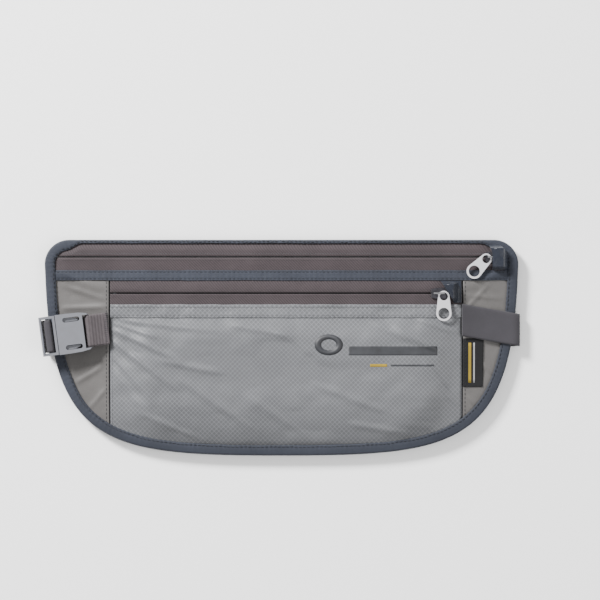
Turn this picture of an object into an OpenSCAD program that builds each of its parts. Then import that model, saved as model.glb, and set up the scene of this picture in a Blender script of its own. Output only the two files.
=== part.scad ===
// Money belt: a flat zipped waist pouch with an elastic strap and a side-release buckle.
// Lies on its back, face up. X runs along the belt, Y up the pouch, Z out of its face.
// The origin is at the middle of the pouch, at the level of what the strap lies on.

/* [Pouch] */
// Overall width of the pouch
body_w = 290; // [280:1:300]
// Height of the top edge above the middle
top_y = 66; // [64:1:68]
// Depth of the bottom edge below the middle
bottom_y = 66.2; // [64:0.1:68]
// Radius of the two top corners
corner_r = 15; // [12:1:18]
// Thickness of each fabric layer
skin_t = 0.35; // [0.3:0.05:0.4]
// Visible width of the edge binding
binding_w = 6.5; // [5:0.1:7]

/* [Zips] */
// Centre line of the main zip
upper_zip_y = 55.4; // [55:0.1:56]
// Centre line of the front zip
lower_zip_y = 33.2; // [32.8:0.1:33.6]
// Level of the main zip's tape
upper_zip_z = 7.0; // [6.9:0.1:7.2]
// Level of the front zip's tape
lower_zip_z = 8.8; // [8.7:0.1:9]
// Gap between the two tapes of a zip
zip_gap = 0.8; // [0.7:0.1:1]
// Length of a slider's body
slider_l = 9.2; // [8:0.1:10]
// Width of a slider's body
slider_w = 6.7; // [6:0.1:7]

/* [Strap and buckle] */
// Width of the elastic strap
strap_w = 20; // [19:0.5:21]
// Thickness of the elastic strap
strap_t = 1.0; // [0.8:0.1:1]
// Tilt of the buckle's axis
buckle_tilt = 7.6; // [6:0.1:9]
// Outer width of the buckle
buckle_w = 24.4; // [24:0.1:25]

/* [Hidden] */
half_w = body_w / 2;
edge_z = 5.3;
back_z = 3.25;
bulge = 4.4;
divider_z = 5.6;
divider_rise = 2.95;
strip_top = 47.3;
strip_bottom = 41;
hem_top = 25.2;
hem_bottom = 18.3;
seam_left = -105;
seam_right = 110.5;
seam_gap = 0.3;
panel_inset = 2.2;
rim_clear = 4;
layer_gap = 0.45;
cut = 0.1;
upper_slider_x = 129.2;
lower_slider_x = 96.1;
bridge_leg = 2.9;
bridge_h = 3.75;
pull_small_r = 3.45;
pull_big_r = 4.65;
pull_l = 10.4;
pull_t = 0.9;
pull_z = 1.75;
pull_hook = 1.05;
pull_eye = 2.97;
pull_rest = 4;
upper_pull_dir = 225;
buckle_x = -131.3;
buckle_y = 8.4;
socket_low = 8.5;
socket_high = 14.8;
cavity_low = 9.6;
cavity_high = 13.7;
frame_low = 9.4;
frame_high = 14.2;
mouth_u = -5.3;
window_mid = 4.2;
latch_root_u = -3.9;
latch_v = 8.2;
$fn = 32;

// ---- the pouch's outline and its levels ----

function clamp01(v) = min(1, max(0, v));
function ease(v) = let(c = clamp01(v)) c * c * (3 - 2 * c);
function soft(v) = 1 - pow(1 - clamp01(v), 2);
function bezier(a, b, c, d, t) =
    a * pow(1 - t, 3) + 3 * b * pow(1 - t, 2) * t + 3 * c * (1 - t) * t * t + d * pow(t, 3);
function side_x(t) = bezier(half_w, half_w, half_w * 0.775, 0, t);
function side_y(t) = bezier(top_y - 1, 5 - bottom_y, -bottom_y, -bottom_y, t);
// parameter at which the side curve reaches a height y
function side_t(y, lo = 0, hi = 1, n = 22) =
    let(mid = (lo + hi) / 2)
    n == 0 ? mid : side_y(mid) > y ? side_t(y, mid, hi, n - 1) : side_t(y, lo, mid, n - 1);
function half_width(y) =
    y > top_y - corner_r
        ? half_w - corner_r + sqrt(max(0, pow(corner_r, 2) - pow(y - top_y + corner_r, 2)))
        : side_x(side_t(y));

function edge_reach(y) = 10 + 31 * ease((strip_top - y) / 17);
function from_side(x, y) = ease((half_width(y) - abs(x) - rim_clear) / edge_reach(y));
function from_bottom(y) = soft((y + bottom_y - binding_w) / 26);
function pocket_rise(y) = ease((24 - y) / 20);
function base_level(y) = upper_zip_z + (lower_zip_z - upper_zip_z) * ease((strip_top - y) / 12);
function top_fade(x, y) = ease((top_y - 1.4 - 3.2 * ease((abs(x) - 121) / 10) - y) / 5.2);
function seam_rise(x) = ease((x - seam_left) / 26) * ease((seam_right - x) / 26);

// top of the front layers
function front_level(x, y) =
    edge_z + (base_level(y) - edge_z) * from_side(x, y) * from_bottom(y) * top_fade(x, y)
    + bulge * seam_rise(x) * pocket_rise(y) * from_bottom(y) * ease((half_width(y) - abs(x) - 10) / 34);
// top of the divider between the two pockets
function divider_level(x, y) =
    edge_z - 0.52 + (divider_z - edge_z + 0.52 + divider_rise * pocket_rise(y) * (1 - 0.45 * ease((abs(x) - 74) / 22)))
    * from_side(x, y) * from_bottom(y);
// top of the back panel
function back_level(x, y) = back_z + skin_t + 0.2 + 0.3 * (1 - from_side(x, y) * from_bottom(y));

// ---- closed sheet from a grid of points ----

// rows: list of rows of [x, y] places; top(x, y) gives the level, t the thickness
module sheet(rows, top, t) {
    ny = len(rows);
    nx = len(rows[0]);
    n = nx * ny;
    upper = [for (r = rows) for (p = r) [p[0], p[1], top(p[0], p[1])]];
    lower = [for (p = upper) [p[0], p[1], p[2] - t]];
    faces = [
        for (j = [0 : ny - 2]) for (i = [0 : nx - 2])
            let(a = j * nx + i)
            each [[a, a + nx, a + 1], [a + 1, a + nx, a + nx + 1],
                [n + a, n + a + 1, n + a + nx], [n + a + 1, n + a + nx + 1, n + a + nx]],
        for (i = [0 : nx - 2]) let(a = i, b = (ny - 1) * nx + i)
            each [[a, a + 1, n + a + 1], [a, n + a + 1, n + a],
                [b + 1, b, n + b], [b + 1, n + b, n + b + 1]],
        for (j = [0 : ny - 2]) let(a = j * nx, b = a + nx - 1)
            each [[a + nx, a, n + a], [a + nx, n + a, n + a + nx],
                [b, b + nx, n + b + nx], [b, n + b + nx, n + b]]
    ];
    polyhedron(concat(upper, lower), faces);
}
// rows from y0 up to y1; each runs between left(y) and right(y)
function grid(y0, y1, ny, nx, left, right) =
    [for (j = [0 : ny]) let(y = y0 + (y1 - y0) * j / ny)
        [for (i = [0 : nx]) [left(y) + (right(y) - left(y)) * i / nx, y]]];
pouch_right = function (y) half_width(y < 0 ? y - 2.6 : min(top_y, y + 2.6)) - panel_inset;
pouch_left = function (y) -pouch_right(y);
front_top = function (x, y) front_level(x, y);
divider_top = function (x, y) divider_level(x, y);
back_top = function (x, y) back_level(x, y);

module back_panel() {
    color("lightslategray")
        sheet(grid(-62.5, 63.5, 18, 16, pouch_left, pouch_right), back_top, skin_t);
}

module shield_lining() {
    color("silver")
        sheet(grid(-61.5, 62.5, 18, 16, pouch_left, pouch_right),
            function (x, y) back_level(x, y) + 0.25, 0.2);
}

module divider_panel() {
    color("gray")
        sheet(grid(-62.3, 44, 18, 32, pouch_left, pouch_right), divider_top, skin_t);
}

module front_panel() {
    color("lightgray")
        sheet(grid(-62.8, hem_top - cut, 16, 18,
            function (y) max(seam_left + seam_gap, pouch_left(y)),
            function (y) min(seam_right - seam_gap, pouch_right(y))), front_top, skin_t);
}

module side_panel_left() {
    color("rosybrown")
        sheet(grid(-48.5, strip_bottom + 2, 16, 6, pouch_left,
            function (y) seam_left - seam_gap), front_top, skin_t);
}

module side_panel_right() {
    color("rosybrown")
        sheet(grid(-45.5, strip_bottom + 2, 16, 6,
            function (y) seam_right + seam_gap, pouch_right), front_top, skin_t);
}

// a strip that lies on the front layers between two heights
module on_front(y0, y1, left, right, nx, lift, t) {
    sheet(grid(y0, y1, 6, nx, left, right), function (x, y) front_level(x, y) + lift + t, t);
}

module front_hem() {
    color("slategray")
        on_front(hem_bottom, hem_top + 2, function (y) seam_left + 0.5,
            function (y) seam_right - 0.5, 18, layer_gap, 0.4);
}

module mid_strip() {
    color("slategray")
        on_front(strip_bottom, strip_top, function (y) binding_w + cut - half_width(y),
            function (y) half_width(y) - binding_w - cut, 22, layer_gap, 0.4);
}

module zip_tape(y0, y1, left, right) {
    color("thistle") sheet(grid(y0, y1, 8, 22, left, right), front_top, skin_t);
}

function tape_reach(y) = half_width(min(top_y, y + 1.7)) - panel_inset;
module upper_tape_top() {
    zip_tape(upper_zip_y + zip_gap / 2, top_y - 1.8, function (y) -tape_reach(y), function (y) tape_reach(y));
}

module upper_tape_bottom() {
    zip_tape(strip_bottom + 2.4, upper_zip_y - zip_gap / 2, pouch_left, pouch_right);
}

module lower_tape_top() {
    zip_tape(lower_zip_y + zip_gap / 2, strip_bottom + 2, function (y) seam_left + seam_gap,
        function (y) seam_right - seam_gap);
}

module lower_tape_bottom() {
    zip_tape(hem_top + 0.2, lower_zip_y - zip_gap / 2, function (y) seam_left + seam_gap,
        function (y) seam_right - seam_gap);
}

// the two rows of a nylon coil, sewn under the tapes
module zip_coils(y, z, x0, x1) {
    row_w = 1.3;
    row_h = 1.1;
    for (side = [-1, 1])
        color("dimgray") translate([x0, y + side * (zip_gap / 2 + row_w / 2) - row_w / 2,
            z - skin_t - row_h - 0.05]) cube([x1 - x0, row_w, row_h]);
}

module upper_zip_coils() {
    zip_coils(upper_zip_y, upper_zip_z, -128, 128);
}

module lower_zip_coils() {
    zip_coils(lower_zip_y, lower_zip_z, -98, 99);
}

// tape folded round the pouch's edge: an open C in section, swept along the outline
function rim_points() = concat(
    [for (x = [40, 118, 121, 124, 127]) [x, top_y]],
    [for (a = [90 : -15 : 0]) [half_w - corner_r + corner_r * cos(a), top_y - corner_r + corner_r * sin(a)]],
    [for (y = [42 : -9 : -48]) [half_width(y), y]],
    [for (t = [0.6 : 0.08 : 1.001]) [side_x(t), side_y(t)]]);
function mirrored(points) = [for (i = [len(points) - 2 : -1 : 0]) [-points[i][0], points[i][1]]];
function closed_rim() = concat(rim_points(), mirrored(rim_points()));
// the binding shows less along the top edge
function rim_width(p) = binding_w - 4.2 * ease((p[1] - 52) / 8) * ease((132 - abs(p[0])) / 10);
module edge_binding() {
    rim = closed_rim();
    n = len(rim);
    leg_t = 0.6;
    low = back_z - 0.1;
    high = edge_z + 0.1 + leg_t;
    m = 8;
    points = [for (i = [0 : n - 1])
        let(a = rim[(i + n - 1) % n], b = rim[(i + 1) % n], d = (b - a) / norm(b - a), out = [-d[1], d[0]],
            w = rim_width(rim[i]), tip = high + 0.14 * (w - 1.6))
        for (s = [[0, low], [-w, low], [-w, low + 0.25], [-1.6, low + 0.25], [-1.6, high - leg_t + 0.1],
            [-w, tip - leg_t + 0.1], [-w, tip], [0, high]])
            [rim[i][0] + out[0] * s[0], rim[i][1] + out[1] * s[0], s[1]]];
    faces = [for (i = [0 : n - 1]) for (k = [0 : m - 1])
        let(j = (i + 1) % n, a = i * m + k, b = i * m + (k + 1) % m, c = j * m + k, d = j * m + (k + 1) % m)
        each [[a, b, c], [b, d, c]]];
    color("slategray") polyhedron(points, faces);
}

// ---- sliders and their pulls ----

module at_zip(x, y, z) {
    translate([x, y, z]) children();
}

// slider seen from above: a body round the tapes, and a bridge that holds the pull
module slider() {
    plate_h = 0.9;
    low_plate_h = 0.7;
    coil_room = 1.8;
    color("dimgray") {
        difference() {
            translate([-slider_l / 2, -slider_w / 2, 0.2]) cube([slider_l, slider_w, plate_h]);
            for (side = [-1, 1])
                translate([-slider_l / 2, side * slider_w / 2, 0]) rotate([0, 0, side * 12])
                    cube([7, 1.4, 4], center = true);
        }
        translate([slider_l / 2 - 3, -0.25, -coil_room]) cube([2.6, 0.5, coil_room + 0.3]);
        translate([-slider_l / 2, -2.6, -coil_room - low_plate_h]) cube([slider_l, 5.2, low_plate_h]);
    }
    color("silver") {
        for (side = [-1, 1])
            translate([side * bridge_leg, 0, 0.2 + plate_h - 0.1]) cylinder(r = 0.4, h = bridge_h - plate_h - 0.1);
        translate([-bridge_leg - 0.5, 0, bridge_h]) rotate([0, 90, 0]) cylinder(r = 0.55, h = 2 * bridge_leg + 1);
    }
}

// flat pull with a hole at each end; it lies along +X from the hinge at its small end
module pull() {
    color("darkgray") rotate([0, -pull_rest, 0]) translate([pull_eye, 0, -pull_t / 2])
        linear_extrude(pull_t) difference() {
            union() {
                circle(r = pull_small_r);
                translate([pull_l, 0]) circle(r = pull_big_r);
                polygon([[-0.3, pull_small_r - 0.02], [-0.3, 0.02 - pull_small_r],
                    [pull_l - 0.5, 0.03 - pull_big_r], [pull_l - 0.5, pull_big_r - 0.03]]);
            }
            circle(r = pull_small_r - 0.95);
            translate([pull_l, 0]) circle(r = pull_big_r - 1.2);
        }
}

module upper_slider() {
    at_zip(upper_slider_x, upper_zip_y, upper_zip_z) slider();
}

module lower_slider() {
    at_zip(lower_slider_x, lower_zip_y, lower_zip_z) slider();
}

module upper_pull() {
    reach = pull_hook * [cos(upper_pull_dir), sin(upper_pull_dir)];
    translate([upper_slider_x - bridge_leg - reach[0], upper_zip_y - reach[1], upper_zip_z + pull_z])
        rotate([0, 0, upper_pull_dir]) pull();
}

module lower_pull() {
    translate([lower_slider_x + bridge_leg, lower_zip_y + pull_hook, lower_zip_z + pull_z])
        rotate([0, 0, -90]) pull();
}

// ---- fabric flaps that cover the closed ends of the zips ----

module upper_garage() {
    left = function (y) 129.4 - max(0, y - 58) * 0.45;
    right = function (y) half_width(y) - binding_w - 0.9;
    top = function (x, y)
        let(k = ease((half_w - 6 - x) / 4) * ease((y - strip_top) / 2.2) * ease((63.5 - y) / 3),
            low = max(front_level(x, y) + 0.5, 7.3 * ease((y - 53) / 3)))
        low + k * (upper_zip_z + bridge_h + 1.85 - low);
    color("slategray") sheet(grid(strip_top + 0.2, 63.3, 10, 6, left, right), top, skin_t);
}

module lower_garage() {
    left = function (y) 97 + (strip_bottom - y) * 0.62;
    right = function (y) seam_right - 0.6;
    top = function (x, y) let(k = ease((seam_right - 2 - x) / 4) * ease((strip_bottom - y) / 2.5) * ease((y - 27.4) / 3))
        front_level(x, y) + 0.5 + k * (bridge_h + 1.2);
    color("slategray") sheet(grid(27.4, strip_bottom - 0.2, 8, 6, left, right), top, skin_t);
}

// ---- straps: a flat ribbon swept along [x, y, z] with its width turned by an angle ----

module ribbon(path, width, t, turn) {
    n = len(path);
    points = [for (i = [0 : n - 1])
        let(a = path[max(0, i - 1)], b = path[min(n - 1, i + 1)], d = b - a, s = [d[0], 0, d[2]] / norm([d[0], 0, d[2]]),
            up = [-s[2], 0, s[0]] * t / 2, side = [-sin(turn), cos(turn), 0] * width / 2)
        each [path[i] + side + up, path[i] - side + up, path[i] - side - up, path[i] + side - up]];
    faces = [
        [0, 1, 2], [0, 2, 3],
        for (i = [0 : n - 2]) for (k = [0 : 3]) let(a = 4 * i + k, b = 4 * i + (k + 1) % 4)
            each [[a, a + 4, b], [b, a + 4, b + 4]],
        [4 * n - 4, 4 * n - 2, 4 * n - 3], [4 * n - 4, 4 * n - 1, 4 * n - 2]
    ];
    polyhedron(points, faces);
}

// line under the pouch from the right edge through the middle, and the one from the left edge
strap_edge_y = 10.8;
strap_fall = 0.176;
function right_line(x) = strap_edge_y * x / half_w;
function left_line(x) = 6.5 - 0.133 * (x + half_w);
function merged_line(x) =
    let(a = right_line(x), b = left_line(x)) (a + b) / 2 + sqrt(pow((a - b) / 2, 2) + 16);
// the second run lies beside the first, and the third crosses back over it
function second_line(x) = right_line(x) + 22 * ease((x + 70) / 50);
function third_line(x) = merged_line(x) + (second_line(90) - merged_line(90)) * ease((x - 10) / 80);

module waist_strap() {
    front = [for (p = [[110.2, 10.05], [113, 9.35], [117, 8.55], [122, 7.95], [128, 7.6], [134, 7.5], [140, 7.4],
        [143, 7.0], [144.9, 6.0], [145.5, 4.4], [145.2, 2.5], [144, 1.1], [142, 0.5]])
        [p[0], p[1] > 3 ? strap_edge_y + strap_fall * (half_w - p[0]) : right_line(p[0]), p[1]]];
    run_a = [for (x = [130 : -25 : -70]) [x, right_line(x), 0.5]];
    fold_a = [[-72.6, right_line(-72.6), 0.6], [-73.3, right_line(-73.3), 1.05], [-72.6, right_line(-72.6), 1.5]];
    run_b = [for (x = [-70 : 10 : 90]) [x, second_line(x), 1.6 - 1.1 * ease((x + 20) / 30)]];
    fold_b = [[92.6, second_line(92.6), 0.7], [93.6, second_line(93.6), 1.6], [92.6, second_line(92.6), 2.55]];
    run_c = [for (x = [90 : -10.7 : -124]) [x, third_line(x), 2.7]];
    color("gray") ribbon(concat(front, run_a, fold_a, run_b, fold_b, run_c), strap_w * 0.985, strap_t, 0);
}

// the part of the strap that runs round the left edge, through the ladder lock and back
module strap_end() {
    path = [[-126.4, 2.4], [-132, 2.4], [-139.5, 2.35], [-143.4, 3.1], [-144.3, 5.3], [-143.6, 7.2], [-141.4, 8.05],
        [-139.9, 9.2], [-139.7, 11.2], [-139.8, 12.6], [-140.5, 13.6], [-141.6, 13.8], [-142.7, 13.6],
        [-143.5, 12.6], [-143.9, 11], [-144.8, 8.6], [-145.6, 5.6], [-145.5, 3], [-144.2, 1.5], [-140.5, 1.0],
        [-125, 1.0], [-112, 1.0]];
    color("gray") ribbon([for (p = path) [p[0], left_line(p[0]) * (p[1] < 2.5 ? 1 : 0) + (p[1] < 2.5 ? 0 : buckle_y
        + (p[0] - buckle_x) * tan(buckle_tilt)), p[1]]], strap_w * 0.985, 0.9, buckle_tilt);
}

module stub_strap() {
    path = [[-105.6, 9.9], [-109, 9.95], [-113, 9.6], [-116.6, 9.45], [-118.3, 10.2], [-118.9, 11.6],
        [-118.3, 13.2], [-116.6, 13.9], [-113, 12.6], [-109, 11.3], [-105.6, 10.9]];
    color("rosybrown") ribbon([for (p = path) [p[0], buckle_y + (p[0] - buckle_x) * tan(buckle_tilt), p[1]]],
        strap_w * 0.97, 0.8, buckle_tilt * 0.8);
}

// ---- side-release buckle, drawn along +X and then tilted into place ----

module in_buckle() {
    translate([buckle_x, buckle_y, 0]) rotate([0, 0, buckle_tilt]) children();
}

// block between two corners
module block(low, high) {
    translate(low) cube(high - low);
}

module buckle_socket() {
    half = buckle_w / 2;
    color("slategray") in_buckle() difference() {
        translate([0, 0, socket_low]) linear_extrude(socket_high - socket_low)
            polygon([[mouth_u, -half], [1, -half], [9, -half + 0.3], [13.6, -half + 1.1], [15.4, -half + 2.6],
                [15.4, half - 2.6], [13.6, half - 1.1], [9, half - 0.3], [1, half], [mouth_u, half]]);
        block([mouth_u - 1, -10.2, cavity_low], [9.8, 10.2, cavity_high]);
        for (side = [-1, 1])
            translate([window_mid, side * 8.4, 0]) window();
        block([11.2, -10.1, socket_low - 1], [13.7, 10.1, socket_high + 1]);
        block([13, -10.1, 12.9], [16, 10.1, socket_high + 1]);
        block([13, -10.1, socket_low - 1], [16, 10.1, 10.4]);
    }
}

// lens-shaped side window, a bar with round ends
module window() {
    translate([0, 0, socket_low - 1]) linear_extrude(socket_high - socket_low + 2) {
        square([7.6, 2.8], center = true);
        for (side = [-1, 1]) translate([side * 3.8, 0]) circle(r = 1.4);
    }
}

module buckle_plug() {
    half = buckle_w / 2 - 0.2;
    color("slategray") in_buckle() {
        difference() {
            block([-15.4, -half, frame_low], [mouth_u - 0.4, half, frame_high]);
            block([-14, -10.4, frame_low - 1], [-11.6, 10.4, frame_high + 1]);
            block([-9.7, -10.4, frame_low - 1], [-7.3, 10.4, frame_high + 1]);
            block([-12, -10.4, 13.0], [-9, 10.4, frame_high + 1]);
            block([-12, -10.4, frame_low - 1], [-9, 10.4, 10.2]);
        }
        difference() {
            block([mouth_u - 0.5, -2.4, cavity_low + 0.3], [6.4, 2.4, cavity_high - 0.3]);
            block([-2, -1, 0], [4, 1, 20]);
        }
    }
}

// one sprung arm of the plug; it turns about its round root
module latch(side) {
    color("slategray") in_buckle() {
        translate([latch_root_u, side * latch_v, cavity_low + 0.3])
            cylinder(r = 1, h = cavity_high - cavity_low - 0.6);
        translate([0, 0, cavity_low + 0.3]) linear_extrude(cavity_high - cavity_low - 0.6)
            polygon([[latch_root_u, side * (latch_v - 0.9)], [latch_root_u, side * (latch_v + 0.9)],
                [window_mid - 4.4, side * (latch_v + 0.9)], [window_mid - 4.2, side * (latch_v + 1.5)],
                [window_mid + 1, side * (latch_v + 1.3)], [window_mid + 4, side * (latch_v + 0.2)],
                [window_mid + 4, side * (latch_v - 0.9)]]);
    }
}

module buckle_latch_upper() {
    latch(1);
}

module buckle_latch_lower() {
    latch(-1);
}

// folded woven label caught in the right seam
module side_label() {
    color("black") sheet(grid(-24, 5.6, 4, 5, function (y) seam_right + 0.6, function (y) 123.6),
        function (x, y) front_level(x, y) + 0.45, 0.4);
}

back_panel();
shield_lining();
divider_panel();
front_panel();
side_panel_left();
side_panel_right();
front_hem();
mid_strip();
edge_binding();
upper_tape_top();
upper_tape_bottom();
upper_zip_coils();
lower_tape_top();
lower_tape_bottom();
lower_zip_coils();
upper_slider();
upper_pull();
lower_slider();
lower_pull();
upper_garage();
lower_garage();
waist_strap();
strap_end();
stub_strap();
buckle_socket();
buckle_plug();
buckle_latch_upper();
buckle_latch_lower();
side_label();
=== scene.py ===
# Money belt, lying on its back. Metres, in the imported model's own frame.
import math

import bpy
import mathutils
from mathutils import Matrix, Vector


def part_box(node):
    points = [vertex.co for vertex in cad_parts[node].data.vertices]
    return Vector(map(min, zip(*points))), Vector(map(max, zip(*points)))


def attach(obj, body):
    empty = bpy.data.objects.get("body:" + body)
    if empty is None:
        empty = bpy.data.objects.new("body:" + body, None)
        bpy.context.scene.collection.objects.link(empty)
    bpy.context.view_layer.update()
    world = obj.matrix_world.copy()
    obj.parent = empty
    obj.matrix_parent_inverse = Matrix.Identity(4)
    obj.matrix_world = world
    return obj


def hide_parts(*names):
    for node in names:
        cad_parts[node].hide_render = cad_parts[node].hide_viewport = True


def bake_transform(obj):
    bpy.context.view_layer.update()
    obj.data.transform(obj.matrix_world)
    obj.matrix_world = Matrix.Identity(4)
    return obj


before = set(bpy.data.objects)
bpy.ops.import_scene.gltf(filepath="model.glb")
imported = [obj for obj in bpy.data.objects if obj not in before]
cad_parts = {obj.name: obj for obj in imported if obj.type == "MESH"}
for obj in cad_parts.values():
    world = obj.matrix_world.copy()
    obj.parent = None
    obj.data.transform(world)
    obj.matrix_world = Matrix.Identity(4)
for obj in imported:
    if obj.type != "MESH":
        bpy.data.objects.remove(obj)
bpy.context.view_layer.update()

MM = 0.001
HALF_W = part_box("edge_binding")[1][0] / MM
TOP_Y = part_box("edge_binding")[1][1] / MM
BOTTOM_Y = -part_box("edge_binding")[0][1] / MM
CORNER_R = 15.0
BINDING_W = 6.5
EDGE_Z = 5.3
UPPER_Z = 7.0
LOWER_Z = 8.8
BULGE = 4.4
DIVIDER_DROP = 0.52
DIVIDER_LIFT = 0.82
DIVIDER_RISE = 2.95
FOLD_GAIN = 1.25
DEEPEST_FOLD = -0.25
UPPER_ZIP_Y = 55.4
LOWER_ZIP_Y = 33.2
ZIP_GAP = 0.8
STRIP_TOP = 47.3
STRIP_BOTTOM = 41.0
HEM_TOP = 25.2
HEM_BOTTOM = 18.3
SEAM_LEFT = -105.0
SEAM_RIGHT = 110.5
BUCKLE_X = -131.3
BUCKLE_Y = 8.4
BUCKLE_TILT = math.radians(7.6)


# ---- levels of the fabric layers, in millimetres ----

def clamp(v):
    return min(1.0, max(0.0, v))


def ease(v):
    c = clamp(v)
    return c * c * (3 - 2 * c)


def soft(v):
    return 1 - (1 - clamp(v)) ** 2


def bezier(a, b, c, d, t):
    return a * (1 - t) ** 3 + 3 * b * (1 - t) ** 2 * t + 3 * c * (1 - t) * t * t + d * t ** 3


def side_x(t):
    return bezier(HALF_W, HALF_W, HALF_W * 0.775, 0, t)


def side_y(t):
    return bezier(TOP_Y - 1, 5 - BOTTOM_Y, -BOTTOM_Y, -BOTTOM_Y, t)


def half_width(y):
    if y > TOP_Y - CORNER_R:
        rise = min(CORNER_R, y - TOP_Y + CORNER_R)
        return HALF_W - CORNER_R + math.sqrt(CORNER_R ** 2 - rise ** 2)
    low, high = 0.0, 1.0
    for _ in range(26):
        mid = (low + high) / 2
        if side_y(mid) > y:
            low = mid
        else:
            high = mid
    return side_x((low + high) / 2)


WIDTHS = {}


def width_at(y):
    key = round(y, 2)
    if key not in WIDTHS:
        WIDTHS[key] = half_width(key)
    return WIDTHS[key]


def from_side(x, y):
    reach = 10 + 31 * ease((STRIP_TOP - y) / 17)
    return ease((width_at(y) - abs(x) - 4) / reach)


def from_bottom(y):
    return soft((y + BOTTOM_Y - BINDING_W) / 26)


def corner_drop(x):
    return 3.2 * ease((abs(x) - 121) / 10)


def front_level(x, y):
    base = UPPER_Z + (LOWER_Z - UPPER_Z) * ease((STRIP_TOP - y) / 12)
    top_fade = ease((TOP_Y - 1.4 - corner_drop(x) - y) / 5.2)
    level = EDGE_Z + (base - EDGE_Z) * from_side(x, y) * from_bottom(y) * top_fade
    seams = ease((x - SEAM_LEFT) / 26) * ease((SEAM_RIGHT - x) / 26)
    inner = ease((width_at(y) - abs(x) - 10) / 34)
    return level + BULGE * seams * ease((24 - y) / 20) * from_bottom(y) * inner


def back_level(x, y):
    return 3.45 + 0.3 * (1 - from_side(x, y) * from_bottom(y))


# ---- smooth noise from a lattice of hashed values, the same on every run ----

def lattice(i, j, seed):
    h = (i * 374761393 + j * 668265263 + seed * 1442695041) & 0xFFFFFFFF
    h = ((h ^ (h >> 13)) * 1274126177) & 0xFFFFFFFF
    return ((h ^ (h >> 16)) & 0xFFFF) / 32767.5 - 1


def noise(x, y, seed):
    i, j = math.floor(x), math.floor(y)
    u, v = ease(x - i), ease(y - j)
    a = lattice(i, j, seed) * (1 - u) + lattice(i + 1, j, seed) * u
    b = lattice(i, j + 1, seed) * (1 - u) + lattice(i + 1, j + 1, seed) * u
    return a * (1 - v) + b * v


# ---- mesh makers ----

def make(name, points, faces, material, body="root", smooth=True, uvs=None):
    """A piece from points in millimetres."""
    mesh = bpy.data.meshes.new(name)
    mesh.from_pydata([(x * MM, y * MM, z * MM) for x, y, z in points], [], faces)
    mesh.validate()
    obj = bpy.data.objects.new(name, mesh)
    bpy.context.scene.collection.objects.link(obj)
    for p in mesh.polygons:
        p.use_smooth = smooth
    if uvs is not None:
        layer = mesh.uv_layers.new(name="cloth")
        for loop in mesh.loops:
            layer.data[loop.index].uv = uvs[loop.vertex_index]
    obj.data.materials.append(material)
    if body:
        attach(obj, body)
    return obj


def grid_faces(rows, cols):
    return [(r * cols + c, r * cols + c + 1, (r + 1) * cols + c + 1, (r + 1) * cols + c)
            for r in range(rows - 1) for c in range(cols - 1)]


def closed_sheet(name, rows, thickness, material, body="root", uvs=None):
    """A thin closed sheet under a grid of top points."""
    ny, nx = len(rows), len(rows[0])
    top = [p for row in rows for p in row]
    low = [(x, y, z - thickness) for x, y, z in top]
    n = nx * ny
    faces = grid_faces(ny, nx)
    faces += [tuple(n + i for i in reversed(f)) for f in grid_faces(ny, nx)]
    rim = [c for c in range(nx)]
    rim += [r * nx + nx - 1 for r in range(1, ny)]
    rim += [(ny - 1) * nx + c for c in range(nx - 2, -1, -1)]
    rim += [r * nx for r in range(ny - 2, 0, -1)]
    for k, a in enumerate(rim):
        b = rim[(k + 1) % len(rim)]
        faces.append((a, n + a, n + b, b))
    both = None
    if uvs is not None:
        flat = [q for row in uvs for q in row]
        both = flat + flat
    return make(name, top + low, faces, material, body, uvs=both)


def span_rows(y0, y1, ny, nx, left, right, level):
    """Rows of points between left(y) and right(y), from y0 to y1."""
    rows = []
    for j in range(ny + 1):
        y = y0 + (y1 - y0) * j / ny
        a, b = left(y), right(y)
        rows.append([(a + (b - a) * i / nx, y, level(a + (b - a) * i / nx, y)) for i in range(nx + 1)])
    return rows


# ---- materials ----

def new_material(name):
    mat = bpy.data.materials.new(name)
    mat.use_nodes = True
    tree = mat.node_tree
    shader = tree.nodes["Principled BSDF"]
    return mat, tree, shader


def node(tree, kind, **values):
    made = tree.nodes.new(kind)
    for key, value in values.items():
        setattr(made, key, value)
    return made


def coords(tree, scale, rotate=0.0, use_uv=False):
    """Object coordinates in millimetres times scale, or the cloth's own where it has them."""
    tex = node(tree, "ShaderNodeTexCoord")
    mapping = node(tree, "ShaderNodeMapping")
    mapping.inputs["Scale"].default_value = tuple(s * 1000 for s in scale)
    mapping.inputs["Rotation"].default_value = (0, 0, rotate)
    tree.links.new(tex.outputs["UV" if use_uv else "Object"], mapping.inputs["Vector"])
    return mapping.outputs["Vector"]


def wave(tree, vector, direction, scale):
    made = node(tree, "ShaderNodeTexWave", wave_type="BANDS", bands_direction=direction, wave_profile="SIN")
    made.inputs["Scale"].default_value = scale
    tree.links.new(vector, made.inputs["Vector"])
    return made.outputs["Fac"]


def noise_node(tree, vector, scale, detail=3.0, rough=0.55):
    made = node(tree, "ShaderNodeTexNoise")
    made.inputs["Scale"].default_value = scale
    made.inputs["Detail"].default_value = detail
    made.inputs["Roughness"].default_value = rough
    tree.links.new(vector, made.inputs["Vector"])
    return made.outputs["Fac"]


def math_node(tree, operation, a, b):
    made = node(tree, "ShaderNodeMath", operation=operation)
    for socket, value in ((made.inputs[0], a), (made.inputs[1], b)):
        if isinstance(value, (int, float)):
            socket.default_value = value
        else:
            tree.links.new(value, socket)
    return made.outputs[0]


def ramp(tree, factor, stops):
    made = node(tree, "ShaderNodeValToRGB")
    made.color_ramp.elements[0].position = stops[0][0]
    made.color_ramp.elements[0].color = (*stops[0][1], 1)
    made.color_ramp.elements[1].position = stops[-1][0]
    made.color_ramp.elements[1].color = (*stops[-1][1], 1)
    for place, colour in stops[1:-1]:
        made.color_ramp.elements.new(place).color = (*colour, 1)
    tree.links.new(factor, made.inputs["Fac"])
    return made.outputs["Color"]


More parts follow.
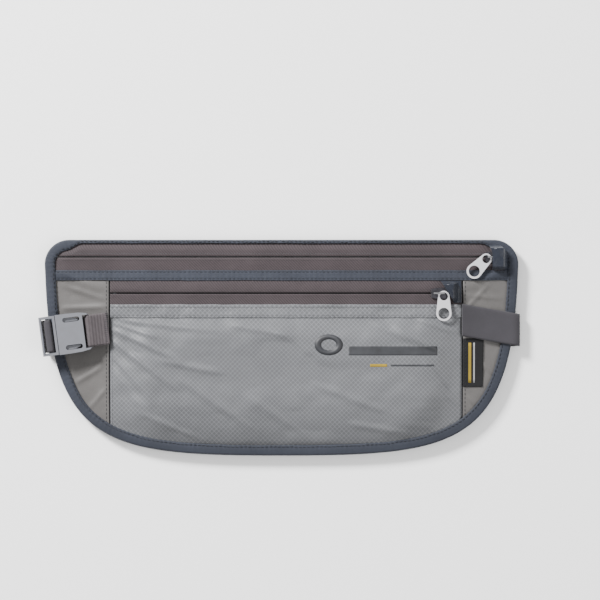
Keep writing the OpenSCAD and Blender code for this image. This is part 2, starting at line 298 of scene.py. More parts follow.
def mix(tree, factor, a, b, blend="MIX"):
    made = node(tree, "ShaderNodeMix", data_type="RGBA", blend_type=blend)
    for socket, value in ((made.inputs["Factor"], factor), (made.inputs[6], a), (made.inputs[7], b)):
        if isinstance(value, (int, float)):
            socket.default_value = value
        elif isinstance(value, tuple):
            socket.default_value = (*value, 1)
        else:
            tree.links.new(value, socket)
    return made.outputs[2]


def bump(tree, shader, height, strength, distance):
    made = node(tree, "ShaderNodeBump")
    made.inputs["Strength"].default_value = strength
    made.inputs["Distance"].default_value = distance
    tree.links.new(height, made.inputs["Height"])
    tree.links.new(made.outputs["Normal"], shader.inputs["Normal"])


# how deep the dyes and paints are
DEPTH = 0.5


def deepen(colour):
    return tuple(c * DEPTH for c in colour)


def fabric(name, dark, light, thread, rough=0.8, sheen=0.25, angle=0.0, grid=0.0, patch=0.35, bump_mm=0.12,
           use_uv=False, kind="plain"):
    """Woven cloth: threads of a given pitch in millimetres, uneven dye, and an optional ripstop grid."""
    mat, tree, shader = new_material(name)
    dark, light = deepen(dark), deepen(light)
    vector = coords(tree, (1, 1, 1), angle, use_uv)
    pitch = 1 / thread
    across = wave(tree, vector, "X", pitch * 0.314)
    along = wave(tree, vector, "Y", pitch * 0.314)
    if kind == "twill":
        weave = wave(tree, vector, "DIAGONAL", pitch * 0.22)
        height = math_node(tree, "ADD", weave, math_node(tree, "MULTIPLY", along, 0.5))
    elif kind == "rib":
        height = math_node(tree, "ADD", math_node(tree, "MULTIPLY", across, 0.35), along)
    else:
        height = math_node(tree, "MULTIPLY", across, along)
    speck = noise_node(tree, vector, 1.1 / thread, 2.0, 0.7)
    cloud = noise_node(tree, vector, 0.045, 4.0, 0.6)
    tone = math_node(tree, "ADD", math_node(tree, "MULTIPLY", height, 0.30),
                     math_node(tree, "ADD", math_node(tree, "MULTIPLY", speck, 0.45),
                               math_node(tree, "MULTIPLY", cloud, patch)))
    colour = ramp(tree, tone, [(0.2, dark), (0.85, light)])
    if grid:
        turned = coords(tree, (1, 1, 1), angle + math.radians(45), use_uv)
        for direction in ("X", "Y"):
            line = wave(tree, turned, direction, 0.314 / grid)
            sharp = ramp(tree, line, [(0.86, (0, 0, 0)), (0.97, (1, 1, 1))])
            pale = tuple(min(1, c * 1.55) for c in light)
            colour = mix(tree, math_node(tree, "MULTIPLY", sharp, 0.32), colour, pale)
            height = math_node(tree, "ADD", height, math_node(tree, "MULTIPLY", sharp, 0.7))
    tree.links.new(colour, shader.inputs["Base Color"])
    rough_map = node(tree, "ShaderNodeMapRange")
    rough_map.inputs["To Min"].default_value = rough - 0.1
    rough_map.inputs["To Max"].default_value = min(1.0, rough + 0.1)
    tree.links.new(speck, rough_map.inputs["Value"])
    tree.links.new(rough_map.outputs["Result"], shader.inputs["Roughness"])
    shader.inputs["Sheen Weight"].default_value = sheen
    shader.inputs["Specular IOR Level"].default_value = 0.25
    shader.inputs["Sheen Roughness"].default_value = 0.45
    bump(tree, shader, height, 0.55, bump_mm * MM)
    return mat


def solid(name, dark, light, rough, metallic=0.0, grain=2.0, bump_mm=0.03, edge_pale=0.0, coat=0.0):
    """Moulded plastic or painted metal: slight mottling, fine grain and convex edges turned paler."""
    mat, tree, shader = new_material(name)
    dark, light = deepen(dark), deepen(light)
    vector = coords(tree, (1, 1, 1))
    fine = noise_node(tree, vector, grain, 4.0, 0.6)
    cloud = noise_node(tree, vector, 0.25, 3.0, 0.5)
    tone = math_node(tree, "ADD", math_node(tree, "MULTIPLY", fine, 0.4),
                     math_node(tree, "MULTIPLY", cloud, 0.6))
    colour = ramp(tree, tone, [(0.3, dark), (0.7, light)])
    # convex edges, found by pointiness, are mixed towards a pale grey
    if edge_pale:
        edge = node(tree, "ShaderNodeNewGeometry")
        edge_mask = ramp(tree, edge.outputs["Pointiness"], [(0.5, (0, 0, 0)), (0.56, (1, 1, 1))])
        colour = mix(tree, math_node(tree, "MULTIPLY", edge_mask, edge_pale), colour, (0.72, 0.71, 0.74))
    tree.links.new(colour, shader.inputs["Base Color"])
    rough_map = node(tree, "ShaderNodeMapRange")
    rough_map.inputs["To Min"].default_value = rough - 0.08
    rough_map.inputs["To Max"].default_value = rough + 0.1
    tree.links.new(fine, rough_map.inputs["Value"])
    tree.links.new(rough_map.outputs["Result"], shader.inputs["Roughness"])
    shader.inputs["Metallic"].default_value = metallic
    shader.inputs["Coat Weight"].default_value = coat
    bump(tree, shader, fine, 0.4, bump_mm * MM)
    return mat


RIPSTOP = fabric("ripstop", (0.085, 0.087, 0.094), (0.25, 0.255, 0.27), 0.32, 0.42, 0.12,
                 grid=2.0, bump_mm=0.04)
SIDE = fabric("side_fabric", (0.095, 0.089, 0.086), (0.215, 0.204, 0.198), 0.4, 0.5, 0.12, bump_mm=0.05)
BACK = fabric("back_fabric", (0.05, 0.052, 0.06), (0.11, 0.115, 0.13), 0.5, 0.75, 0.12, bump_mm=0.08)
FILM = fabric("shield_film", (0.22, 0.225, 0.235), (0.38, 0.385, 0.4), 0.3, 0.35, 0.05, bump_mm=0.03)
BINDING = fabric("binding_tape", (0.010, 0.012, 0.020), (0.060, 0.070, 0.100), 0.42, 0.7, 0.1, bump_mm=0.1)
TAPE = fabric("zip_tape", (0.014, 0.010, 0.0115), (0.085, 0.065, 0.071), 0.62, 0.8, 0.08,
              kind="twill", bump_mm=0.14)
STRAP = fabric("strap_elastic", (0.022, 0.020, 0.025), (0.082, 0.077, 0.088), 0.55, 0.9, 0.12, kind="rib",
               use_uv=True, bump_mm=0.12)
STUB = fabric("stub_elastic", (0.040, 0.034, 0.037), (0.145, 0.123, 0.131), 0.7, 0.85, 0.12, kind="rib",
              use_uv=True, bump_mm=0.18)
THREAD = fabric("thread_grey", (0.05, 0.05, 0.056), (0.17, 0.17, 0.185), 0.2, 0.6, 0.1, bump_mm=0.03)
DARK_THREAD = fabric("thread_dark", (0.006, 0.007, 0.010), (0.028, 0.030, 0.042), 0.2, 0.65, 0.05,
                     bump_mm=0.03)
TAPE_THREAD = fabric("thread_brown", (0.03, 0.024, 0.027), (0.085, 0.07, 0.076), 0.2, 0.7, 0.05, bump_mm=0.03)
FLAP = fabric("flap_fabric", (0.008, 0.010, 0.017), (0.042, 0.050, 0.074), 0.32, 0.3, 0.08, bump_mm=0.04)
COIL = solid("zip_coil", (0.012, 0.011, 0.012), (0.035, 0.033, 0.036), 0.45)
GUNMETAL = solid("slider_metal", (0.07, 0.067, 0.078), (0.15, 0.144, 0.165), 0.34, 0.85, 3.0, 0.02, 0.7)
PULL = solid("pull_metal", (0.12, 0.116, 0.128), (0.22, 0.215, 0.235), 0.38, 0.7, 3.0, 0.02, 0.9)
# pale bright metal for the sliders' top faces: a painted highlight along the bridge
SLIDER_TOP_HIGHLIGHT = solid("bridge_painted_highlight", (0.6, 0.6, 0.62), (0.85, 0.85, 0.88), 0.22, 1.0, 3.0, 0.01)
PLASTIC = solid("buckle_plastic", (0.032, 0.038, 0.053), (0.062, 0.072, 0.100), 0.36, 0.0, 4.0,
                0.03, 0.12, 0.05)
LABEL = fabric("label_weave", (0.003, 0.003, 0.0035), (0.018, 0.018, 0.02), 0.35, 0.8, 0.05, bump_mm=0.06)
YELLOW = fabric("yellow_weave", (0.30, 0.20, 0.012), (0.56, 0.39, 0.035), 0.35, 0.7, 0.1, bump_mm=0.04)
WHITE = fabric("white_weave", (0.34, 0.34, 0.34), (0.58, 0.58, 0.58), 0.35, 0.7, 0.1, bump_mm=0.04)
PRINT = solid("print_ink", (0.012, 0.013, 0.017), (0.032, 0.034, 0.042), 0.6)


# ---- camera, floor and light ----

VIEW_W = 0.3663
VIEW_X = 0.0113
VIEW_Y = 0.0291
CAMERA_Z = 1.9


def add_camera():
    data = bpy.data.cameras.new("camera")
    data.sensor_width = 36
    data.lens = 36 * (CAMERA_Z - 0.009) / VIEW_W
    obj = bpy.data.objects.new("camera", data)
    obj.location = (VIEW_X, VIEW_Y, CAMERA_Z)
    bpy.context.scene.collection.objects.link(obj)
    bpy.context.scene.camera = obj


def add_area(name, place, size, power, aim=(0, 0, 0)):
    data = bpy.data.lights.new(name, "AREA")
    data.energy = power
    data.size = size
    obj = bpy.data.objects.new(name, data)
    obj.location = place
    direction = [aim[k] - place[k] for k in range(3)]
    obj.rotation_euler = mathutils.Vector(direction).to_track_quat("-Z", "Y").to_euler()
    bpy.context.scene.collection.objects.link(obj)


def add_stage():
    mat, tree, shader = new_material("pale_floor")
    shader.inputs["Base Color"].default_value = (0.86, 0.86, 0.86, 1)
    shader.inputs["Roughness"].default_value = 0.9
    mesh = bpy.data.meshes.new("floor")
    mesh.from_pydata([(-4, -4, 0), (4, -4, 0), (4, 4, 0), (-4, 4, 0)], [], [(0, 1, 2, 3)])
    mesh.materials.append(mat)
    obj = bpy.data.objects.new("floor", mesh)
    bpy.context.scene.collection.objects.link(obj)
    world = bpy.data.worlds.new("studio")
    world.use_nodes = True
    world.node_tree.nodes["Background"].inputs["Color"].default_value = (1, 1, 1, 1)
    world.node_tree.nodes["Background"].inputs["Strength"].default_value = 0.95
    bpy.context.scene.world = world
    add_area("key", (-1.1, 1.2, 0.95), 0.4, 135)
    add_area("fill", (1.2, -0.4, 1.2), 1.2, 20)


# ---- cloth that is puckered and creased ----

# soft creases of the front panel: from x, y to x, y, half width and height
CREASES = [
    (-104, 12, -62, -8, 1.9, 1.25), (-104, 5, -66, -24, 1.6, 1.1), (-103, -4, -76, -36, 1.5, 1.0),
    (-98, 17, -36, 10, 2.2, 0.9), (-103, 15, -74, 6, 1.5, 0.8), (-102, -14, -84, -40, 1.5, 0.8),
    (-60, -20, -20, -48, 2.4, 0.9), (-30, 14, 12, 6, 2.2, 0.7), (-72, -8, -34, -16, 2.0, 0.7),
    (20, -22, 66, -40, 2.4, 0.75), (70, 12, 104, -6, 2.0, 0.95), (88, -10, 106, -34, 1.8, 0.8),
    (-86, -40, -50, -56, 2.0, 0.8), (40, -46, 84, -54, 2.0, 0.6), (-20, -30, 16, -54, 2.4, 0.6),
    (56, 15, 84, 2, 1.8, 0.6), (-6, 12, 30, -10, 2.4, 0.45), (84, 17, 107, 9, 1.6, 0.7),
]
# creases of the side panels
SIDE_CREASES = [
    (113, 24, 127, 39, 1.2, 0.75), (114, 32, 136, 30, 1.3, 0.7), (118, -4, 134, -22, 1.3, 0.7),
    (114, -30, 124, -40, 1.3, 0.6), (-109, 30, -134, 38, 1.4, 0.75), (-108, 25, -136, 24, 1.3, 0.7),
    (-110, -12, -130, -24, 1.4, 0.75), (-108, -26, -120, -40, 1.3, 0.6), (120, 38, 132, 22, 1.2, 0.6),
]


def crease_height(x, y, creases):
    total = 0.0
    for x0, y0, x1, y1, wide, high in creases:
        dx, dy = x1 - x0, y1 - y0
        t = ((x - x0) * dx + (y - y0) * dy) / (dx * dx + dy * dy)
        if not -0.15 < t < 1.15:
            continue
        off = (x - x0 - t * dx) * dy - (y - y0 - t * dy) * dx
        off /= math.hypot(dx, dy)
        total += high * math.exp(-(off / wide) ** 2) * ease((t + 0.15) / 0.3) * ease((1.15 - t) / 0.5)
    return total


def panel_height(x, y):
    fade = ease((x - SEAM_LEFT) / 4) * ease((SEAM_RIGHT - x) / 4) * ease((y + 62) / 5)
    soft_wave = 0.6 * noise(x / 26, y / 15, 3) + 0.42 * noise(x / 9, y / 7, 4) + 0.07 * noise(x / 3, y / 3, 5)
    folds = soft_wave + crease_height(x, y, CREASES) * FOLD_GAIN
    return front_level(x, y) + fade * max(DEEPEST_FOLD, folds)


def side_height(x, y):
    fade = ease((width_at(y) - abs(x) - 6) / 5)
    wavy = 0.3 * noise(x / 10, y / 12, 8) + 0.1 * noise(x / 4, y / 4, 9)
    return front_level(x, y) + fade * (wavy + crease_height(x, y, SIDE_CREASES))


def tape_height(x, y):
    return front_level(x, y) + 0.07 * noise(x / 16, y / 3, 12) + 0.03 * noise(x / 3, y / 2, 13)


def pucker(s, seed, pitch=3.4):
    size = 0.6 + 0.4 * noise(s / 5, 2.5, seed)
    return math.sin(2 * math.pi * s / pitch + 2.2 * noise(s / 9, 0.5, seed)) * size


def cloth_panel(name, nodes, rows, material, thickness=0.35):
    """A closed cloth sheet from rows of points, standing in for the given CAD nodes, which are hidden."""
    obj = closed_sheet(name, rows, thickness, material)
    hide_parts(*nodes)
    return obj


def panel_right(y):
    return width_at(y - 2.6 if y < 0 else min(TOP_Y, y + 1.6)) - 2.2


def panel_left(y):
    return -panel_right(y)


def add_panels():
    rows = span_rows(-62.8, HEM_TOP - 0.1, 110, 150, lambda y: max(SEAM_LEFT + 0.4, panel_left(y)),
                     lambda y: min(SEAM_RIGHT - 0.4, panel_right(y)), panel_height)
    obj = cloth_panel("front_cloth", ["front_panel"], rows, RIPSTOP)
    rows = span_rows(-48.5, STRIP_BOTTOM + 2, 80, 34, panel_left, lambda y: SEAM_LEFT - 0.4, side_height)
    obj = cloth_panel("side_cloth_left", ["side_panel_left"], rows, SIDE)
    rows = span_rows(-45.5, STRIP_BOTTOM + 2, 80, 34, lambda y: SEAM_RIGHT + 0.4, panel_right, side_height)
    obj = cloth_panel("side_cloth_right", ["side_panel_right"], rows, SIDE)

    def back_height(x, y):
        return back_level(x, y) + 0.35 + 0.06 * noise(x / 30, y / 18, 21)

    rows = span_rows(-62.5, 63.5, 60, 90, panel_left, panel_right, back_height)
    obj = cloth_panel("back_cloth", ["back_panel"], rows, BACK)
    rows = span_rows(-61.5, 62.5, 40, 60, panel_left, panel_right, lambda x, y: back_level(x, y) + 0.62)
    obj = cloth_panel("lining_cloth", ["shield_lining"], rows, FILM, 0.15)

    def divider_height(x, y):
        rise = DIVIDER_RISE * ease((24 - y) / 20) * (1 - 0.45 * ease((abs(x) - 74) / 22))
        level = EDGE_Z - DIVIDER_DROP + (DIVIDER_LIFT + rise) * from_side(x, y) * from_bottom(y)
        return min(level, front_level(x, y) - 0.6)

    rows = span_rows(-62.3, 44, 40, 60, panel_left, panel_right, divider_height)
    obj = cloth_panel("divider_cloth", ["divider_panel"], rows, BACK, 0.3)


def add_tapes():
    def tape(name, cad, y0, y1, left, right):
        rows = span_rows(y0, y1, 10, 240, left, right, tape_height)
        obj = cloth_panel(name, [cad], rows, TAPE)

    gap = ZIP_GAP / 2
    tape("upper_tape_cloth_top", "upper_tape_top", UPPER_ZIP_Y + gap, 64.2, panel_left, panel_right)
    tape("upper_tape_cloth_bottom", "upper_tape_bottom", STRIP_BOTTOM + 2.4, UPPER_ZIP_Y - gap, panel_left,
         panel_right)
    tape("lower_tape_cloth_top", "lower_tape_top", LOWER_ZIP_Y + gap, STRIP_BOTTOM + 2,
         lambda y: SEAM_LEFT + 0.3, lambda y: SEAM_RIGHT - 0.3)
    tape("lower_tape_cloth_bottom", "lower_tape_bottom", HEM_TOP + 0.2, LOWER_ZIP_Y - gap,
         lambda y: SEAM_LEFT + 0.3, lambda y: SEAM_RIGHT - 0.3)


def strip_on_front(name, cad, y0, y1, left, right, material, level, seed, stitches, swing=0.2):
    """A folded strip, domed across, with gathers between its rows of stitches."""
    def height(x, y):
        v = (y - y0) / (y1 - y0)
        dome = 0.28 * (1 - (2 * v - 1) ** 6)
        dip = sum(math.exp(-((y - s) / 0.55) ** 2) for s in stitches)
        gather = 0.10 * pucker(x, seed) * (1 - 0.5 * math.sin(math.pi * v))
        return level(x, y) + 0.42 + dome + gather - 0.16 * dip + 0.05 * noise(x / 2.2, y / 2.2, seed + 1)

    rows = []
    steps = 22
    for j in range(steps + 1):
        v = j / steps
        row = []
        for i in range(421):
            x = left + (right - left) * i / 420
            edge = swing * noise(x / 7, 3.5, seed + 2) * (2 * v - 1)
            y = y0 + (y1 - y0) * v + edge
            row.append((x, y, height(x, y)))
        rows.append(row)
    return cloth_panel(name, [cad], rows, material, 0.42)


def add_strips():
    inner = HALF_W - BINDING_W
    obj = strip_on_front("mid_strip_cloth", "mid_strip", STRIP_BOTTOM, STRIP_TOP, -inner - 0.5, inner + 0.5,
                         BINDING, front_level, 31, (42.1, 46.2))
    obj = strip_on_front("hem_cloth", "front_hem", HEM_BOTTOM, HEM_TOP + 1.2, SEAM_LEFT + 0.5,
                         SEAM_RIGHT - 0.5, RIPSTOP, panel_height, 41, (19.4, 24.4), 0.25)


# ---- stitches: small rounded dashes of thread ----

def stitch_row(name, path, level, material, pitch=2.6, dash=1.7, radius=0.17, body="root"):
    """path: list of (x, y) corners; the stitches follow it, lying on level(x, y)."""
    points, faces = [], []
    carry = 0.0
    for (x0, y0), (x1, y1) in zip(path, path[1:]):
        length = math.hypot(x1 - x0, y1 - y0)
        ux, uy = (x1 - x0) / length, (y1 - y0) / length
        s = carry
        while s + dash < length:
            base = len(points)
            for t, r in ((0, 0.35), (0.25, 1), (0.75, 1), (1, 0.35)):
                x, y = x0 + ux * (s + dash * t), y0 + uy * (s + dash * t)
                z = level(x, y)
                for k in range(6):
                    a = math.pi * k / 3
                    points.append((x - uy * math.cos(a) * radius * r, y + ux * math.cos(a) * radius * r,
                                   z + math.sin(a) * radius * r))
            for ring in range(3):
                for k in range(6):
                    a, b = base + ring * 6 + k, base + ring * 6 + (k + 1) % 6
                    faces.append((a, b, b + 6, a + 6))
            faces.append(tuple(base + k for k in range(5, -1, -1)))
            faces.append(tuple(base + 18 + k for k in range(6)))
            s += pitch
        carry = s - length
    return make(name, points, faces, material, body)


# ---- binding folded round the edge ----

def outline(step):
    """Evenly spaced points round the pouch's edge, clockwise from the top's middle, with outward normals."""
    right = [(0.0, TOP_Y), (HALF_W - CORNER_R, TOP_Y)]
    for k in range(1, 31):
        a = math.radians(90 - 3 * k)
        right.append((HALF_W - CORNER_R + CORNER_R * math.cos(a), TOP_Y - CORNER_R + CORNER_R * math.sin(a)))
    for k in range(1, 401):
        t = 0.06 + 0.94 * k / 400
        if side_y(t) < TOP_Y - CORNER_R - 1:
            right.append((side_x(t), side_y(t)))
    corners = right + [(-x, y) for x, y in reversed(right[:-1])]
    lengths = [0.0]
    for a, b in zip(corners, corners[1:]):
        lengths.append(lengths[-1] + math.hypot(b[0] - a[0], b[1] - a[1]))
    count = int(lengths[-1] / step)
    found, k = [], 0
    for i in range(count):
        s = lengths[-1] * i / count
        while lengths[k + 1] < s:
            k += 1
        t = (s - lengths[k]) / max(1e-9, lengths[k + 1] - lengths[k])
        found.append((corners[k][0] + (corners[k + 1][0] - corners[k][0]) * t,
                      corners[k][1] + (corners[k + 1][1] - corners[k][1]) * t))
    result = []
    for i in range(count):
        a, b = found[i - 2], found[(i + 2) % count]
        d = math.hypot(b[0] - a[0], b[1] - a[1])
        out_x, out_y = -(b[1] - a[1]) / d, (b[0] - a[0]) / d
        result.append((found[i][0], found[i][1], out_x, out_y, lengths[-1] * i / count))
    return result


def binding_width(x, y):
    narrow = ease((y - 52) / 8) * ease((132 - abs(x)) / 10)
    return BINDING_W - 4.2 * narrow


def add_binding():
    rim = outline(0.9)
    points, faces, inner = [], [], []
    section = 18
    for x, y, nx, ny, s in rim:
        wide = binding_width(x, y) + 0.18 * pucker(s, 51, 3.1) + 0.15 * noise(s / 8, 1.5, 52)
        inner.append((x - nx * (wide - 1.1), y - ny * (wide - 1.1)))
        for k in range(section):
            if k < 8:
                v = k / 7
                off, z = -wide * (1 - v) - 0.6 * v, 6.75 - 0.45 * v ** 2 - 0.35 * (1 - v) ** 6
                z += 0.13 * pucker(s + 0.4 * v, 53, 3.1) * (1 - 0.6 * v)
                z -= 0.22 * math.exp(-((off + wide - 1.1) / 0.5) ** 2)
            elif k < 11:
                a = math.radians(60 - 60 * (k - 8))
                off, z = -0.62 + 0.6 * math.cos(a), 4.75 + 1.25 * math.sin(a)
            elif k < 14:
                v = (k - 11) / 2
                off, z = -0.7 - (wide - 0.7) * v, 3.32
            elif k < 16:
                off, z = -wide + 5.0 * (k - 14) * (wide / BINDING_W) + 0.05, 3.55
            else:
                off, z = -wide + 5.0 * (17 - k) * (wide / BINDING_W) + 0.05, 6.1
            points.append((x + nx * off, y + ny * off, z))
    n = len(rim)
    for i in range(n):
        for k in range(section):
            a, b = i * section + k, i * section + (k + 1) % section
            c, d = ((i + 1) % n) * section + k, ((i + 1) % n) * section + (k + 1) % section
            faces.append((a, c, d, b))
    obj = make("binding_cloth", points, faces, BINDING)
    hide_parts("edge_binding")
    obj = stitch_row("binding_stitches", inner + inner[:1], lambda x, y: 6.72, DARK_THREAD, 2.6, 1.9, 0.2)


# ---- flaps over the zips' closed ends ----

def add_garages():
    bridge_top = 4.4

    def upper(x, y):
        k = ease((HALF_W - 6 - x) / 4) * ease((y - STRIP_TOP) / 2.2) * ease((63.5 - y) / 3)
        base = front_level(x, y) + 0.5
        fold = 0.45 * math.exp(-((x - 134 + (y - 56) * 0.55) / 1.3) ** 2) + 0.3 * noise(x / 3, y / 4, 61)
        return base + k * (UPPER_Z + bridge_top + 0.7 - base) + fold * ease((HALF_W - 6 - x) / 3)

    def upper_left(y):
        return 128.7 - max(0, y - 58) * 0.45

    rows = span_rows(STRIP_TOP + 0.2, 63.6, 44, 36, upper_left,
                     lambda y: width_at(y) - BINDING_W + 0.6, upper)
    obj = cloth_panel("upper_garage_cloth", ["upper_garage"], rows, FLAP)

    def lower(x, y):
        k = ease((SEAM_RIGHT - 2 - x) / 4) * ease((STRIP_BOTTOM - y) / 2.5) * ease((y - 27.4) / 3)
        fold = 0.4 * math.exp(-((x - 104.5 + (y - 34) * 0.5) / 1.1) ** 2) + 0.25 * noise(x / 3, y / 4, 62)
        return front_level(x, y) + 0.5 + k * 4.95 + fold * ease((SEAM_RIGHT - x) / 3)

    rows = span_rows(27.4, STRIP_BOTTOM - 0.2, 40, 30, lambda y: 97 + (STRIP_BOTTOM - y) * 0.62,
                     lambda y: SEAM_RIGHT - 0.6, lower)
    obj = cloth_panel("lower_garage_cloth", ["lower_garage"], rows, FLAP)


# ---- ribbons: the strap and the stub ----

def smooth_path(path, parts):
    """Catmull-Rom through the path's points."""
    result = []
    for i in range(len(path) - 1):
        p = [path[max(0, i - 1)], path[i], path[i + 1], path[min(len(path) - 1, i + 2)]]
        for k in range(parts):
            t = k / parts
            result.append(tuple(
                0.5 * (2 * b + (c - a) * t + (2 * a - 5 * b + 4 * c - d) * t * t
                       + (3 * b - a - 3 * c + d) * t ** 3)
                for a, b, c, d in zip(*p)))
    result.append(tuple(path[-1]))
    return result


def ribbon(name, path, width, thickness, material, turns, seed, rough_edge=0.08, ribs=0.0, body="root"):
    """A woven band along a path. turns gives the angle of its width at each point."""
    cols = 17
    points, faces, uvs = [], [], []
    run = 0.0
    n = len(path)
    for i, (x, y, z) in enumerate(path):
        a, b = path[max(0, i - 1)], path[min(n - 1, i + 1)]
        dx, dz = b[0] - a[0], b[2] - a[2]
        d = math.hypot(dx, dz) or 1.0
        up = (-dz / d, dx / d)
        if i:
            run += math.dist(path[i - 1], path[i])
        swell = ribs * math.sin(2 * math.pi * run / 1.9)
        side = (-math.sin(turns[i]), math.cos(turns[i]))
        for face in (1, -1):
            for c in range(cols):
                v = (c / (cols - 1) - 0.5) * face
                w = v * (width + rough_edge * noise(run / 2.5, 7.5, seed))
                round_off = 1 - 0.45 * abs(2 * v) ** 10
                h = face * (thickness / 2 * round_off) + swell * face
                points.append((x + side[0] * w + up[0] * h, y + side[1] * w, z + up[1] * h))
                uvs.append((run * MM, v * width * MM))
    ring = 2 * cols
    for i in range(n - 1):
        for c in range(ring):
            a, b = i * ring + c, i * ring + (c + 1) % ring
            faces.append((a, a + ring, b + ring, b))
    faces.append(tuple(range(ring)))
    faces.append(tuple((n - 1) * ring + c for c in range(ring - 1, -1, -1)))
    return make(name, points, faces, material, body, uvs=uvs)


# the strap's height at the pouch's right edge, its fall across the front,
# and how far the second run lies aside
STRAP_EDGE_Y = 10.8
STRAP_FALL = 0.176
STRAP_ASIDE = 22


def right_line(x):
    return STRAP_EDGE_Y * x / HALF_W


def left_line(x):
    return 6.5 - 0.133 * (x + HALF_W)


def merged_line(x):
    a, b = right_line(x), left_line(x)
    return (a + b) / 2 + math.sqrt(((a - b) / 2) ** 2 + 16)


def second_line(x):
    return right_line(x) + STRAP_ASIDE * ease((x + 70) / 50)


def third_line(x):
    return merged_line(x) + (second_line(90) - merged_line(90)) * ease((x - 10) / 80)


def add_strap():
    front = [(110.2, 10.05), (113, 9.35), (117, 8.55), (122, 7.95), (128, 7.6), (134, 7.5), (140, 7.4),
             (143, 7.0), (144.9, 6.0), (145.5, 4.4), (145.2, 2.5), (144, 1.1), (142, 0.5)]
    path = [(x, STRAP_EDGE_Y + STRAP_FALL * (HALF_W - x) if z > 3 else right_line(x), z) for x, z in front]
    path += [(x, right_line(x), 0.5) for x in range(130, -71, -25)]
    path += [(x, right_line(-72.6), z) for x, z in ((-72.6, 0.6), (-73.3, 1.05), (-72.6, 1.5))]
    path += [(x, second_line(x), 1.6 - 1.1 * ease((x + 20) / 30)) for x in range(-70, 91, 10)]
    path += [(x, second_line(92.6), z) for x, z in ((92.6, 0.7), (93.6, 1.6), (92.6, 2.55))]
    path += [(90 - 10.7 * k, third_line(90 - 10.7 * k), 2.65) for k in range(20)]
    last = len(path)
    end = [(-126.4, 2.4), (-132, 2.4), (-139.5, 2.35), (-143.4, 3.1), (-144.3, 5.3), (-143.6, 7.2),
           (-141.4, 8.05), (-139.9, 9.2), (-139.7, 11.2), (-139.8, 12.6), (-140.5, 13.6), (-141.6, 13.8),
           (-142.7, 13.6), (-143.5, 12.6), (-143.9, 11), (-144.8, 8.6), (-145.6, 5.6), (-145.5, 3),
           (-144.2, 1.5), (-140.5, 1.0),
           (-125, 1.0), (-112, 1.0)]
    for x, z in end:
        over = BUCKLE_Y + (x - BUCKLE_X) * math.tan(BUCKLE_TILT)
        path.append((x, left_line(x) if z < 2.5 else over, z))
    parts = 4
    fine = smooth_path(path, parts)
    turns = [BUCKLE_TILT * ease((i / parts - last + 8) / 8) for i in range(len(fine))]
    obj = ribbon("strap_web", fine, 19.75, 0.94, STRAP, turns, 71, body=None)
    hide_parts("waist_strap", "strap_end")
    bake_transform(obj)


def add_stub():
    side = [(-105.6, 9.9), (-109, 9.95), (-113, 9.6), (-116.6, 9.45), (-118.3, 10.2), (-118.9, 11.6),
            (-118.3, 13.2), (-116.6, 13.9), (-113, 12.6), (-109, 11.3), (-105.6, 10.9)]
    path = [(x, BUCKLE_Y + (x - BUCKLE_X) * math.tan(BUCKLE_TILT), z) for x, z in side]
    fine = smooth_path(path, 10)
    obj = ribbon("stub_web", fine, 19.4, 0.8, STUB, [BUCKLE_TILT * 0.8] * len(fine), 72, 0.3, 0.13)
    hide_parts("stub_strap")


# ---- label, print and seams ----

def patch(name, x0, x1, y0, y1, level, lift, thickness, material, nx=24, ny=10, slot="label_weave"):
    rows = span_rows(y0, y1, ny, nx, lambda y: x0, lambda y: x1, lambda x, y: level(x, y) + lift)
    obj = closed_sheet(name, rows, thickness, material)
    return obj


def add_label():
    def level(x, y):
        return side_height(x, y) * 0.3 + front_level(x, y) * 0.7 + 0.55

    rows = span_rows(-24, 5.6, 40, 20, lambda y: SEAM_RIGHT + 0.4, lambda y: 123.6 - 0.02 * (5.6 - y), level)
    obj = cloth_panel("label_cloth", ["side_label"], rows, LABEL, 0.5)
    patch("label_stripe_yellow", 114.2, 115.9, -21.5, 3.0, level, 0.06, 0.06, YELLOW)
    patch("label_stripe_white", 117.2, 118.1, -21.5, 3.0, level, 0.06, 0.06, WHITE)
    obj = stitch_row("label_stitches", [(112.4, 5.0), (112.4, -23.4)], lambda x, y: level(x, y) + 0.08,
                     DARK_THREAD, 2.2, 1.5, 0.14)


def add_print():
    """Plain marks where the maker's print would be: a ring, a bar and two short bars."""
    points, faces = [], []
    count = 48
    for k in range(count):
        a = 2 * math.pi * k / count
        for r in (3.4, 6.4):
            x, y = 28.8 + r * 1.35 * math.cos(a), 1.8 + r * math.sin(a)
            for lift in (0.07, 0.0):
                points.append((x, y, panel_height(x, y) + lift))
    for k in range(count):
        a, b = 4 * k, 4 * ((k + 1) % count)
        faces += [(a, b, b + 2, a + 2), (a + 2, b + 2, b + 3, a + 3), (a + 3, b + 3, b + 1, a + 1),
                  (a + 1, b + 1, b, a)]
    obj = make("print_ring", points, faces, PRINT)
    patch("print_bar", 41, 95, -4.6, 0.9, panel_height, 0.06, 0.06, PRINT, 60, 8, "ripstop")
    patch("print_bar_yellow", 54, 64.4, -11.6, -9.9, panel_height, 0.06, 0.06, YELLOW, 16, 4, "ripstop")
    patch("print_bar_thin", 66.5, 93, -11.3, -10.2, panel_height, 0.06, 0.06, PRINT, 36, 4, "ripstop")


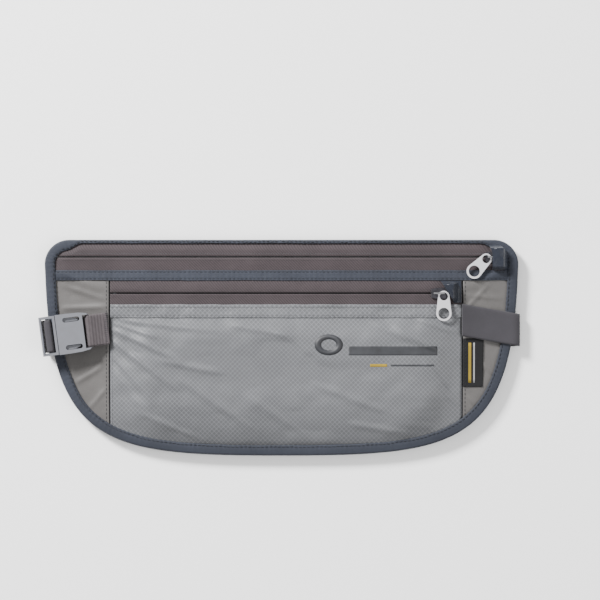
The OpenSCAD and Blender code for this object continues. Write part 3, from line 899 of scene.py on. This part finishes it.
def add_stitching():
    inner = HALF_W - BINDING_W - 1
    rows = [
        ("mid_stitches_top", [(-inner, 46.2), (inner, 46.2)], front_level, 0.62, DARK_THREAD, "binding_tape"),
        ("mid_stitches_low", [(-inner, 42.1), (inner, 42.1)], front_level, 0.62, DARK_THREAD, "binding_tape"),
        ("hem_stitches_top", [(-104, 24.4), (109.5, 24.4)], panel_height, 0.62, THREAD, "ripstop"),
        ("hem_stitches_low", [(-104, 19.4), (109.5, 19.4)], panel_height, 0.62, THREAD, "ripstop"),
        ("upper_zip_stitches", [(-134, UPPER_ZIP_Y + 2.1), (126, UPPER_ZIP_Y + 2.1)], tape_height, 0.02,
         THREAD, "zip_tape"),
        ("upper_zip_stitches_low", [(-134, UPPER_ZIP_Y - 2.1), (134, UPPER_ZIP_Y - 2.1)], tape_height, -0.03,
         TAPE_THREAD, "zip_tape"),
        ("lower_zip_stitches", [(-103, LOWER_ZIP_Y + 2.1), (96, LOWER_ZIP_Y + 2.1)], tape_height, -0.03,
         TAPE_THREAD, "zip_tape"),
        ("lower_zip_stitches_low", [(-103, LOWER_ZIP_Y - 2.1), (108, LOWER_ZIP_Y - 2.1)], tape_height, -0.03,
         TAPE_THREAD, "zip_tape"),
        ("left_seam_stitches", [(-107.0, 40.5), (-107.0, -50)], side_height, 0.04, DARK_THREAD,
         "side_fabric"),
        ("left_seam_stitches_in", [(-103.4, 18), (-103.4, -52)], panel_height, 0.04, THREAD, "ripstop"),
        ("right_seam_stitches", [(112.2, 40.5), (112.2, 27.5)], side_height, 0.04, DARK_THREAD,
         "side_fabric"),
        ("right_seam_stitches_low", [(112.2, -25), (112.2, -47)], side_height, 0.04, DARK_THREAD,
         "side_fabric"),
        ("right_seam_stitches_in", [(109.1, 18), (109.1, -49)], panel_height, 0.04, THREAD, "ripstop"),
    ]
    for name, path, level, lift, thread, slot in rows:
        def lifted(x, y, level=level, lift=lift):
            return level(x, y) + lift
        pitch, dash, radius = (1.5, 0.8, 0.15) if "zip" in name else (2.5, 1.7, 0.16)
        stitch_row(name, path, lifted, thread, pitch, dash, radius)
    tack = [(-106.2, 21.5), (-106.2, 3.0)]
    for k in range(3):
        shifted = [(x - 0.7 * k, y) for x, y in tack]
        stitch_row("stub_bartack_%d" % k, shifted, lambda x, y: 11.35, DARK_THREAD, 1.3, 1.0, 0.2)


# ---- hard parts: the CAD nodes keep their shape and get rounded edges and finishes ----

def soften(name, material, width, segments=3, angle=32):
    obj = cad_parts[name]
    obj.data.materials.clear()
    obj.data.materials.append(material)
    bevel = obj.modifiers.new("rounded", "BEVEL")
    bevel.width = width * MM
    bevel.segments = segments
    bevel.limit_method = "ANGLE"
    bevel.angle_limit = math.radians(angle)
    return obj


def add_hard_parts():
    for name in ("upper_pull", "lower_pull"):
        soften(name, PULL, 0.22)
    for name, level in (("upper_slider", UPPER_Z), ("lower_slider", LOWER_Z)):
        obj = soften(name, GUNMETAL, 0.16)
        # faces high on the slider take the pale bright metal, a painted highlight of the bridge
        obj.data.materials.append(SLIDER_TOP_HIGHLIGHT)
        for p in obj.data.polygons:
            if p.center.z / MM > level + 1.25:
                p.material_index = 1
    for name in ("buckle_socket", "buckle_plug", "buckle_latch_upper", "buckle_latch_lower"):
        soften(name, PLASTIC, 0.3, 3, 40)
    for name in ("upper_zip_coils", "lower_zip_coils"):
        soften(name, COIL, 0.3)


add_camera()
add_stage()
add_panels()
add_tapes()
add_strips()
add_binding()
add_garages()
add_strap()
add_stub()
add_label()
add_print()
add_stitching()
add_hard_parts()
